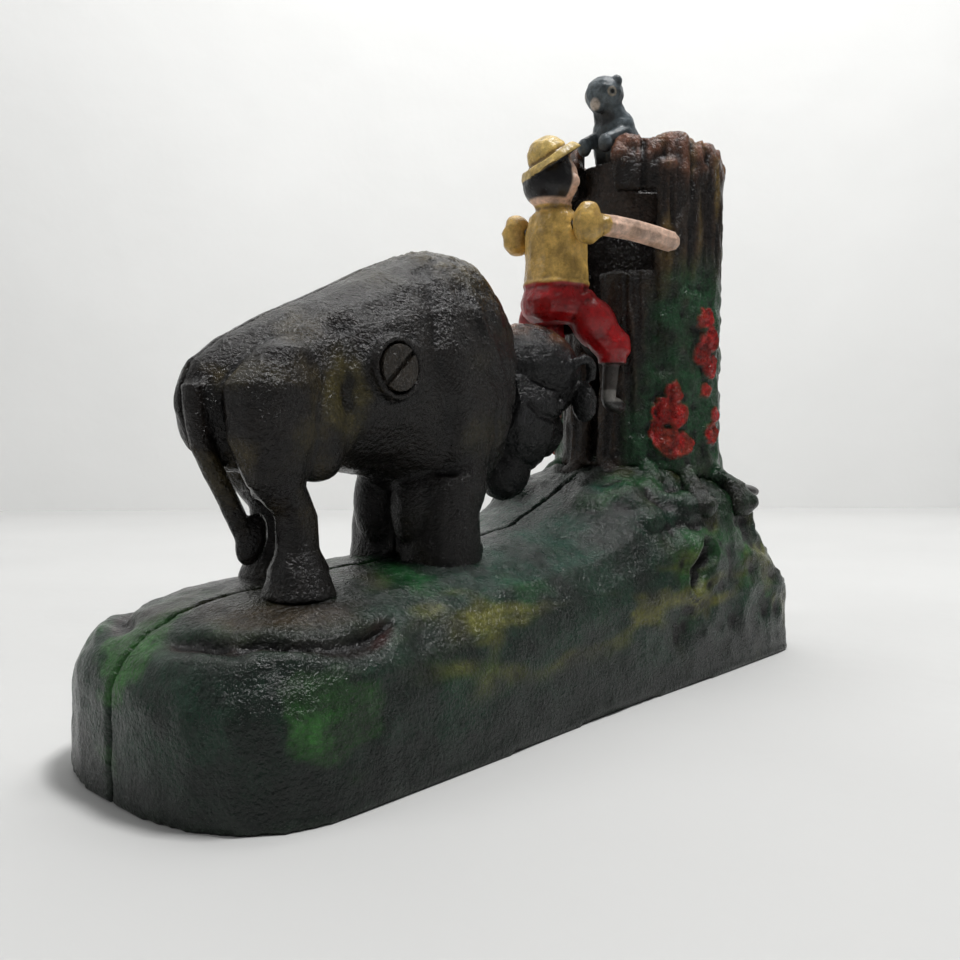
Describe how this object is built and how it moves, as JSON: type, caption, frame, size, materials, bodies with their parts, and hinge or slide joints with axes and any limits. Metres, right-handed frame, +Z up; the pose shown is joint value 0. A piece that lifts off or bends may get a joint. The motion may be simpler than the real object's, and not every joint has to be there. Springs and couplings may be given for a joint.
{
  "type": "mechanical coin bank",
  "caption": "Cast-iron mechanical bank: pressing the thumb lever makes a bison lift its head and butt a boy up a hollow tree while a raccoon ducks inside.",
  "frame": {"origin": "bottom centre of the whole bank's box, thumb lever included", "axes": "+X from the bison's rump towards the tree and the thumb lever, +Z up, +Y to the bison's left"},
  "size_m": [0.1969, 0.059, 0.1343],
  "materials": {
    "ground_paint": "glossy antiqued green paint with olive and black",
    "bison_paint": "glossy brown-black lacquer, olive and orange in places",
    "bark_paint": "glossy brown-black bark with rusty rim, green leaves and red flowers",
    "boy_paint": "antiqued mustard, deep red and flesh enamel",
    "raccoon_paint": "satin slate grey paint",
    "bare_iron": "dark japanned cast iron",
    "screw_steel": "darkened steel"
  },
  "bodies": {
    "casting": {"base_right_half": "ground_paint", "base_left_half": "ground_paint", "base_plate": "bare_iron", "base_plate_screw_1": "screw_steel", "base_plate_screw_2": "screw_steel", "base_plate_screw_3": "screw_steel", "base_plate_screw_4": "screw_steel", "coin_trap_rivet": "screw_steel", "bison_body_right_half": "bison_paint", "bison_body_left_half": "bison_paint", "bison_body_screw": "bison_paint", "lever_pivot_pin": "screw_steel", "tree_trunk_right_half": "bark_paint", "tree_trunk_left_half": "bark_paint", "tree_screw_right": "screw_steel", "tree_screw_left": "screw_steel", "rocker_pin": "screw_steel"},
    "trap_door": {"coin_trap_door": "bare_iron"},
    "head": {"bison_head": "bison_paint"},
    "lever": {"thumb_lever": "bare_iron"},
    "wire": {"push_wire": "screw_steel"},
    "boy": {"boy_body": "boy_paint", "boy_right_arm": "boy_paint", "boy_left_arm": "boy_paint", "shoulder_rivet": "screw_steel", "boy_slide": "bare_iron", "boy_slide_rivet": "screw_steel"},
    "rocker": {"rocker": "bare_iron"},
    "raccoon": {"raccoon": "raccoon_paint", "raccoon_carriage": "bark_paint", "raccoon_rivet": "screw_steel"}
  },
  "joints": [
    {"name": "thumb_lever_press", "type": "hinge", "parent": "casting", "child": "lever", "pos_m": [0.01, 0, 0.02], "axis": [0, 1, 0], "range_deg": [0, 4.93]},
    {"name": "bison_head_lift", "type": "hinge", "parent": "casting", "child": "head", "pos_m": [-0.055, 0, 0.064], "axis": [0, -1, 0], "range_deg": [0, 12]},
    {"name": "push_wire_rise", "type": "slide", "parent": "casting", "child": "wire", "axis": [0, 0, 1], "range_m": [0, 0.004]},
    {"name": "boy_climb", "type": "slide", "parent": "casting", "child": "boy", "axis": [0, 0, 1], "range_m": [0, 0.013]},
    {"name": "rocker_tilt", "type": "hinge", "parent": "casting", "child": "rocker", "pos_m": [0.0376, 0, 0.08], "axis": [0, 1, 0], "range_deg": [0, 70.5]},
    {"name": "raccoon_duck", "type": "slide", "parent": "casting", "child": "raccoon", "axis": [0, 0, -1], "range_m": [0, 0.012]},
    {"name": "coin_trap_swing", "type": "hinge", "parent": "casting", "child": "trap_door", "pos_m": [0.036, 0, 0.0016], "axis": [0, 0, 1], "range_deg": [0, 130]}
  ],
  "couplings": [
    {"joint": "bison_head_lift", "follows": "thumb_lever_press", "ratio": 2.43},
    {"joint": "push_wire_rise", "follows": "thumb_lever_press", "m_per_rad": 0.0459},
    {"joint": "boy_climb", "follows": "thumb_lever_press", "m_per_rad": 0.151},
    {"joint": "rocker_tilt", "follows": "thumb_lever_press", "ratio": 14.29},
    {"joint": "raccoon_duck", "follows": "thumb_lever_press", "m_per_rad": 0.1394}
  ]
}
